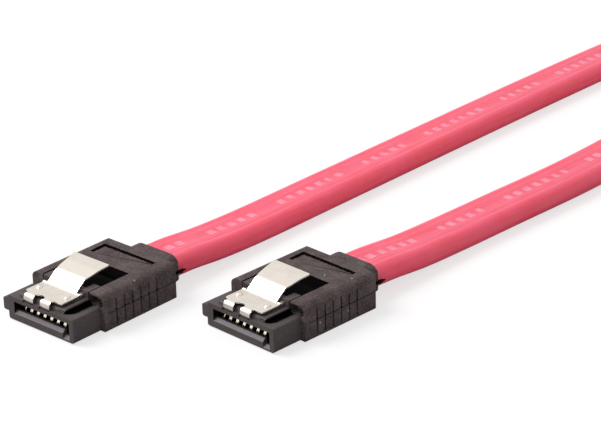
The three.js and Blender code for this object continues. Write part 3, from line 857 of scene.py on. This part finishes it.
@dataclass
class LatchClip(Plug):
    """The sprung clip: two hooks over the lip, plate with pips, ears, ramp and thumb tab."""

    sheet: float = 0.2
    plate_z: float = 4.4
    lip_z: float = 3.46
    prong_inner: float = 0.66
    prong_outer: float = 2.4
    prong_shift: float = -0.45
    wing: float = 3.45
    ramp: float = 2.7
    tab: float = 3.25
    ramp_start: float = 4.15
    ear_back: float = 5.9
    slit: float = 0.18
    bend: float = 0.42
    blank_x: Span = (-4.2, 4.2)
    edge: float = 0.035
    pip: tuple[float, float, float] = (0.4, 0.55, 0.3)

    def bent(self) -> Piece:
        """The bent sheet, as wide as its widest part, with eased bends."""
        z = self.plate_z
        hook = [(0.36, self.lip_z - 0.06), (0.24, self.lip_z + 0.26), (0.3, z - 0.3), (0.62, z)]
        line = [*hook, (self.ramp_start + NEAR, z), (5.98, 5.86), (8.2, 6.38), (9.95, 6.68)]
        outline = strip(eased(line, self.bend, 7), self.sheet)
        return Bench.pushed("latch_spring", outline, Axis.X, self.blank_x)

    def outline(self) -> Piece:
        """The blank's outline in plan, raised high enough to meet the whole bent sheet."""
        wing = [(self.wing - 0.2, 1.1), (self.wing - 0.06, 1.18), (self.wing, 1.34), (self.wing, 4.3)]
        slit = [(self.ramp + self.slit, 4.3), (self.ramp + self.slit / 2, 4.1), (self.ramp, 4.3)]
        side = ((0.0, 6.1), (0.05, 6.3), (0.13, 6.55), (0.2, 7.0))
        end = ((0.28, 7.8), (0.18, 8.7), (0.05, 9.45), (0.0, 9.75), (0.08, 9.95), (0.3, 10.05))
        tab = [*((self.ramp + u, v) for u, v in side), *((self.tab - u, v) for u, v in end)]
        sides = []
        for hand in (1, -1):
            prong = self.prong_outer + hand * self.prong_shift
            shoulder = [(prong, 0.5), (prong - 0.12, 0.74), (prong - 0.06, 0.9), (prong + 0.1, 1.0)]
            middle = ((prong + self.wing) / 2, 1.03)
            half = [(0.0, -0.5), (prong, -0.5), *shoulder, middle, *wing, *slit, *tab]
            sides.append([(hand * u, v) for u, v in half])
        return Bench.pushed("blank", [*sides[0], *reversed(sides[1][1:])], Axis.Z, (0.12, 8.0))

    def gap(self) -> Piece:
        """The gap between the two hooks, wider at its round end."""
        middle, inner = self.prong_shift, self.prong_inner
        turns = np.linspace(0, math.pi, 17)
        arch = [(middle + 0.85 * math.cos(a), 0.8 + 0.5 * math.sin(a)) for a in turns]
        outline = [(middle - inner, -1.0), (middle + inner, -1.0), (middle + inner, 0.42), *arch]
        return Bench.pushed("gap", [*outline, (middle - inner, 0.42)], Axis.Z, (0.0, 7.0))

    def ears(self) -> list[Piece]:
        """The two ears that run back under the guides."""
        y, z = (self.ramp_start - 0.1, self.ear_back), about(self.plate_z, self.sheet / 2)
        return [Bench.slab("ear", x, y, z) for x in both_sides((self.ramp + self.slit, self.wing))]

    def pips(self) -> list[Piece]:
        """The two pressed pips near the plate's ends."""
        x, y, z = self.ramp - 0.1, self.ramp_start - 1.3, self.plate_z + 0.05
        return [Bench.pip("pip", (hand * x, y, z), self.pip) for hand in (-1, 1)]

    def build(self) -> list[Piece]:
        """Models the clip and dresses it."""
        clip = self.bent()
        Bench.combine(clip, "INTERSECT", [self.outline()])
        Bench.combine(clip, "UNION", [*self.ears(), *self.pips()])
        Bench.combine(clip, "DIFFERENCE", [self.gap()])
        clip.data.transform(Matrix.Translation((self.clip_x, 0, 0)))
        Bench.polish(clip, self.edge, 2, 50.0)
        clip.data.materials.append(CLIP.make())
        return self.setting(clip, "clip_steel", "latch_clip", latch=True)


@dataclass
class Contacts(Plug):
    """The seven spring contacts, with crowned tips."""

    half: float = 0.26
    thick: float = 0.24
    bend: float = 0.16
    crown: float = 0.1
    shank: float = 1.9
    tail: float = 11.7
    spring: tuple[Point, ...] = (
        *((1.36, 0.95), (1.46, 1.22), (1.74, 1.76), (1.98, 1.98)),
        *((2.3, 2.0), (3.0, 1.76), (4.6, 1.36), (5.7, 1.36)),
    )

    def build(self) -> list[Piece]:
        """Models one contact, copies it along the row and dresses the copies."""
        line = [*self.spring, (6.3, self.shank), (self.tail, self.shank)]
        outline = strip(eased(line, self.bend, 4), self.thick)
        first = Bench.pushed("contact", outline, Axis.X, (-self.half, self.half))
        Bench.polish(first, self.crown, 3, 60.0)
        first.data.materials.append(CONTACT.make())
        made = []
        for index in range(self.contacts):
            mesh = first.data.copy()
            mesh.transform(Matrix.Translation((self.contact_x(index), 0, 0)))
            copy = Bench.placed(f"spring_contact_{index + 1}", mesh)
            made += self.setting(copy, "contact_gold", f"contact_{index + 1}")
        bpy.data.objects.remove(first)
        return made


@dataclass
class Leads(Plug):
    """The wires inside the grip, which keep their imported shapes."""

    signals: int = 4
    grounds: int = 3

    def build(self) -> list[Piece]:
        """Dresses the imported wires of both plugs."""
        made = []
        kinds = (("signal", self.signals, INSULATION), ("ground", self.grounds, DRAIN))
        for word, count, finish in kinds:
            material = finish.make()
            for name in [f"{word}_wire_{k + 1}_{berth.mark}" for k in range(count) for berth in BERTHS]:
                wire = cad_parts[name]
                wire.material_slots[0].material = material
                LOG.info("%s: packed shape dressed", name)
                made.append(wire)
        return made


# ---- The cable and its tie

# The cable's axis: x, y and z in millimetres, and the lean of its flat face in degrees.
FAR_RUN = (
    *((-10.57, 0.25, 2.6, 0), (-10.57, 2.75, 2.6, 0), (-10.59, 6.7, 2.46, 0)),
    *((-10.58, 12.7, 1.92, 0), (-10.54, 20.2, 1.64, 0), (-10.47, 37.2, 1.58, 0)),
    *((-10.02, 86.2, 1.58, 0), (-9.42, 107.2, 1.62, 0), (-7.82, 125.2, 1.9, 0)),
    (-6.22, 138.2, 2.75, 0),
)
LOOP_MIDDLE = -1.32
HALF_LOOP = (
    *((-5.82, 148.2, 2.9, 0), (-5.82, 158.2, 2.8, 3), (-6.02, 169.2, 2.36, 16)),
    *((-7.92, 182.2, 3.4, 46), (-12.92, 195.6, 3.94, 76), (-19.72, 207.1, 3.9, 90)),
    *((-22.32, 220.6, 3.9, 90), (-19.52, 231.1, 3.9, 90), (-11.82, 238.8, 3.9, 90)),
)
MIRRORED_HALF = tuple((round(2 * LOOP_MIDDLE - x, 2), *rest) for x, *rest in reversed(HALF_LOOP))
NEAR_RUN = (
    *((3.88, 135.2, 2.75, 0), (6.58, 121.2, 1.9, 0), (10.58, 103.2, 1.62, 0)),
    *((13.78, 84.2, 1.58, 0), (14.38, 65.2, 1.57, 0), (13.48, 47.2, 1.58, 0)),
    *((12.88, 35.2, 1.64, 0), (12.64, 27.6, 1.92, 0), (12.43, 21.6, 2.46, 0)),
    *((12.18, 17.23, 2.6, 0), (12.042, 14.734, 2.6, 0)),
)
ROUTE = (*FAR_RUN, *HALF_LOOP, (LOOP_MIDDLE, 241.6, 3.9, 90), *MIRRORED_HALF, *NEAR_RUN)


@dataclass
class FlatCable:
    """The flat cable: its axis in millimetres with the lean of its flat face, and its section."""

    route: tuple[tuple[float, float, float, float], ...] = ROUTE
    width: float = 7.8
    thick: float = 3.1
    rings: int = 440
    around: int = 84
    valley: float = 0.14
    valley_half: float = 1.3
    groove: float = 0.07
    groove_x: float = 1.95
    groove_half: float = 0.22

    def section(self) -> np.ndarray:
        """The section's points round its middle, with a shallow valley between its two lobes."""
        r, reach = self.thick / 2, (self.width - self.thick) / 2
        bend = math.pi * r
        half = bend + 2 * reach
        made = []
        for k in range(self.around):
            s = (k / self.around * 2 * half + bend / 2) % (2 * half)
            side = 1 if s < half else -1
            s %= half
            angle = s / r - math.pi / 2
            x = side * (reach + (r * math.cos(angle) if s < bend else bend - s))
            z = side * (r * math.sin(angle) if s < bend else r)
            sunk = self.valley * math.exp(-((x / self.valley_half) ** 2))
            sunk += self.groove * math.exp(-(((abs(x) - self.groove_x) / self.groove_half) ** 2))
            made.append((x, z - math.copysign(sunk, z) * (abs(z) > 0.6 * r)))
        return np.array(made)

    def at(self, share: float) -> tuple[np.ndarray, float]:
        """The axis's point and lean at a share of its points, on a centripetal curve."""
        points = np.array(self.route, float)
        last = len(points) - 1
        i = min(int(share * last), last - 1)
        t = share * last - i
        p = points[:, :3]
        before = p[i - 1] if i > 0 else 2 * p[0] - p[1]
        after = p[i + 2] if i + 2 <= last else 2 * p[last] - p[last - 1]
        p1, p2 = p[i], p[i + 1]
        spans = ((before, p1), (p1, p2), (p2, after))
        d = [float(np.linalg.norm(b - a)) ** 0.5 for a, b in spans]
        t1 = ((p1 - before) / d[0] - (p2 - before) / (d[0] + d[1]) + (p2 - p1) / d[1]) * d[1]
        t2 = ((p2 - p1) / d[1] - (after - p1) / (d[1] + d[2]) + (after - p2) / d[2]) * d[1]
        cubic = p1 + t1 * t + (3 * (p2 - p1) - 2 * t1 - t2) * t**2 + (2 * (p1 - p2) + t1 + t2) * t**3
        return cubic, float(points[i, 3] + (points[i + 1, 3] - points[i, 3]) * t)

    def axis(self) -> tuple[np.ndarray, np.ndarray]:
        """Points evenly spaced along the axis, in millimetres, and the lean at each in radians."""
        dense = [self.at(k / 4000) for k in range(4001)]
        points = np.array([p for p, _ in dense])
        lean = np.array([a for _, a in dense])
        run = np.concatenate([[0], np.cumsum(np.linalg.norm(np.diff(points, axis=0), axis=1))])
        even = np.linspace(0, run[-1], self.rings + 1)
        spaced = np.stack([np.interp(even, run, points[:, k]) for k in range(3)], axis=1)
        return spaced, np.radians(np.interp(even, run, lean))

    def build(self) -> tuple[Piece, list[list[float]]]:
        """Sweeps the section along the axis and dresses the cable.

        Returns:
            The cable and the points of its axis in metres.
        """
        section = self.section()
        points, lean = self.axis()
        ways = np.gradient(points, axis=0)
        ways /= np.linalg.norm(ways, axis=1)[:, None]
        left = np.cross((0.0, 0.0, 1.0), ways)
        left /= np.linalg.norm(left, axis=1)[:, None]
        rise = np.cross(ways, left)
        normal = rise * np.cos(lean)[:, None] + left * np.sin(lean)[:, None]
        across = np.cross(normal, ways)
        n, rings = len(section), len(points)
        spread = across[:, None] * section[:, :1] + normal[:, None] * section[:, 1:]
        vertices = (points[:, None] + spread).reshape(-1, 3) * MILLIMETRE
        faces, uv = [], []
        for i in range(rings - 1):
            for k in range(n):
                j = (k + 1) % n
                faces.append((i * n + k, i * n + j, (i + 1) * n + j, (i + 1) * n + k))
                u, v = (k / n, (k + 1) / n), (i / (rings - 1), (i + 1) / (rings - 1))
                uv += [(u[0], v[0]), (u[1], v[0]), (u[1], v[1]), (u[0], v[1])]
        faces += [tuple(reversed(range(n))), tuple(range((rings - 1) * n, rings * n))]
        uv += [(0.5, 0.0)] * n + [(0.5, 1.0)] * n
        mesh = bpy.data.meshes.new("flat_cable")
        mesh.from_pydata(vertices.tolist(), [], faces)
        layer = mesh.uv_layers.new(name="run")
        layer.data.foreach_set("uv", np.array(uv, np.float32).ravel())
        cable = Bench.placed("flat_cable", mesh)
        with Bench.editing(cable):
            bpy.ops.mesh.normals_make_consistent(inside=False)
        bpy.ops.object.shade_smooth_by_angle(angle=math.radians(50))
        mesh.materials.append(JACKET.make())
        return cable, (points * MILLIMETRE).tolist()


@dataclass
class BundleTie:
    """The releasable strap that holds the folded run: a ribbed band, its head and its tail."""

    x: Span = (-10.02, 7.38)
    y: float = 148.2
    width: float = 4.6
    thick: float = 1.0
    top: float = 4.75
    corners: tuple[float, float] = (2.4, 1.45)
    ribs: int = 4
    rib_pitch: float = 0.95
    rib_half: tuple[float, float] = (0.24, 1.5)
    rib_depth: float = 0.18
    head: tuple[float, float, float] = (6.0, 5.4, 3.4)
    through_half: float = 1.9
    slot_z: Span = (7.2, 9.0)
    pawl_z: Span = (6.9, 7.8)
    tail_z: Span = (6.6, 7.35)
    edge: float = 0.16

    def band(self) -> Piece:
        """The strap round both runs, with ribs on its top."""
        t = self.thick
        y = about(self.y, self.width / 2)
        outer = rounded_box((self.x[0] - t, self.x[1] + t), (NEAR, self.top + t), self.corners[0], 10)
        inner = rounded_box(self.x, (t, self.top), self.corners[1], 10)
        band = Bench.pushed("bundle_tie", outer, Axis.Y, y)
        eye = Bench.pushed("eye", inner, Axis.Y, (y[0] - 1, y[1] + 1))
        valleys = []
        for hand in (-1, 1):
            for k in range(self.ribs):
                x = sum(self.x) / 2 + hand * (self.head[0] / 2 + 0.7 + k * self.rib_pitch)
                sides = about(x, self.rib_half[0]), about(self.y, self.rib_half[1])
                valleys.append(Bench.slab("rib", *sides, (self.top + t - self.rib_depth, 6.5)))
        return Bench.combine(band, "DIFFERENCE", [eye, *valleys])

    def lock(self) -> Piece:
        """The head with its slot, its pawl and the tail that comes out of it."""
        middle, half = sum(self.x) / 2, self.head[0] / 2
        end = middle + half
        through = about(self.y, self.through_half)
        depth = about(self.y, self.head[1] / 2)
        head = Bench.slab("head", about(middle, half), depth, (self.top + NEAR, self.top + self.head[2]))
        Bench.edges(head, lambda a, b: abs(a.z - b.z) > 1, 0.9, 5)
        slot = Bench.slab("slot", (middle - 1.0, middle + 0.6), through, self.slot_z)
        pawl = Bench.slab("pawl", (middle - 0.7, middle + 0.2), about(self.y, 1.2), self.pawl_z)
        Bench.edges(pawl, lambda a, b: min(a.z, b.z) > 7.5 and min(a.x, b.x) > middle, 0.5, 3)
        tail = Bench.slab("tail", (end - 0.4, end + 1.6), through, self.tail_z)
        Bench.edges(tail, lambda a, b: min(a.x, b.x) > end and abs(a.z - b.z) > 0.5, 0.7, 4)
        Bench.combine(head, "DIFFERENCE", [slot])
        return Bench.combine(head, "UNION", [pawl, tail])

    def build(self) -> Piece:
        """Models the tie and dresses it."""
        tie = Bench.combine(self.band(), "UNION", [self.lock()])
        Bench.polish(tie, self.edge, 3)
        tie.data.transform(Matrix.Scale(MILLIMETRE, 4))
        tie.data.materials.append(NYLON.make())
        return tie


# ---- The studio


@dataclass(frozen=True)
class Studio:
    """The camera, the floor, the sky and the lamp."""

    place: tuple[float, float, float] = (0.20018, -0.2002, 0.1397)
    azimuth: float = 42.28
    elevation: float = 24.22
    roll: float = -1.48
    focal: float = 2400.0
    picture: tuple[int, int] = (601, 439)
    paper: float = 0.66
    lift: float = 0.52
    sky_level: float = 0.46
    glow: float = 1.33
    lamp_place: tuple[float, float, float] = (-0.4, -0.19, 0.57)
    lamp_aim: tuple[float, float, float] = (0.0, 0.03, 0.0)
    lamp_size: float = 0.45
    lamp_power: float = 4.8

    def camera(self) -> None:
        """Makes the camera at the photograph's view."""
        a, e, r = (math.radians(v) for v in (self.azimuth, self.elevation, self.roll))
        back = Vector((math.sin(a) * math.cos(e), -math.cos(a) * math.cos(e), math.sin(e)))
        level = Vector((math.cos(a), math.sin(a), 0))
        upright = back.cross(level)
        right = level * math.cos(r) + upright * math.sin(r)
        up = upright * math.cos(r) - level * math.sin(r)
        data = bpy.data.cameras.new("camera")
        data.sensor_width = 36.0
        data.lens = self.focal * data.sensor_width / self.picture[0]
        data.clip_start, data.clip_end = 0.01, 20.0
        camera = Bench.placed("camera", data)
        turn = Matrix((right, up, back)).transposed()
        camera.matrix_world = Matrix.Translation(self.place) @ turn.to_4x4()
        bpy.context.scene.camera = camera
        LOG.info("camera: lens %.2f mm", data.lens)

    def floor(self) -> None:
        """Makes the pale floor, which the camera sees lifted towards white with its shadows kept."""
        add = bpy.ops.mesh.primitive_plane_add
        floor = Bench.added("floor", add, size=8, location=(0, 0, -0.00004))
        material = bpy.data.materials.new("paper")
        graph = Graph(material)
        matte = graph.add("BsdfDiffuse", inputs={"Color": (self.paper,) * 3})
        glow = graph.add("Emission", inputs={"Color": (1, 0.985, 0.985), "Strength": self.glow})
        seen = graph.add("LightPath", output="Is Camera Ray")
        lifted = graph.add("MixShader", inputs={0: seen * self.lift, 1: matte, 2: glow})
        graph.surface("Material", lifted)
        floor.data.materials.append(material)

    def sky(self) -> None:
        """Makes the white surroundings: full white to the eye and in gloss, softer as a lamp."""
        world = bpy.data.worlds.new("studio")
        graph = Graph(world)
        kinds = ("Camera", "Glossy", "Transmission")
        camera, glossy, through = (graph.add("LightPath", output=f"Is {kind} Ray") for kind in kinds)
        seen = camera + glossy + through
        level = seen.math("MINIMUM", seen, 1.0) * (1 - self.sky_level) + self.sky_level
        white = graph.add("Background", inputs={"Color": (1, 1, 1), "Strength": level})
        graph.surface("World", white)
        bpy.context.scene.world = world

    def lamp(self) -> None:
        """Makes the square soft lamp, which faces the plugs."""
        data = bpy.data.lights.new("key", "AREA")
        data.shape, data.size, data.energy = "SQUARE", self.lamp_size, self.lamp_power
        lamp = Bench.placed("key", data)
        way = Vector(self.lamp_aim) - Vector(self.lamp_place)
        turn = way.to_track_quat("-Z", "Y").to_matrix()
        lamp.matrix_world = Matrix.Translation(self.lamp_place) @ turn.to_4x4()

    def build(self) -> None:
        """Makes the whole studio."""
        self.camera()
        self.floor()
        self.sky()
        self.lamp()
        bpy.context.scene.view_settings.view_transform = "Standard"


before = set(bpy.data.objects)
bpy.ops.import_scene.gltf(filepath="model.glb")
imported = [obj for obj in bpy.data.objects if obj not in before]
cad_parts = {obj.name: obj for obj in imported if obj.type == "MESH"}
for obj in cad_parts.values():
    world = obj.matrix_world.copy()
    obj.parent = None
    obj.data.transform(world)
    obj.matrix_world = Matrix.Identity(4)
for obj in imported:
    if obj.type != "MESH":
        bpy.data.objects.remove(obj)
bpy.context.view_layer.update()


def main() -> None:
    """Builds the studio, the cable, its tie and the plugs, in that order."""
    logging.basicConfig(level=logging.INFO, format="%(name)s %(message)s")
    Studio().build()
    cable, path = FlatCable().build()
    tie = BundleTie().build()
    enlist(cable, BODY, "cable_jacket")
    enlist(tie, BODY, "stow_tie")
    for assembly in (Housing(), Grip(), LatchClip(), Contacts(), Leads()):
        made = assembly.build()
        LOG.info("%s: %d pieces", type(assembly).__name__, len(made))


if __name__ == "__main__":
    main()
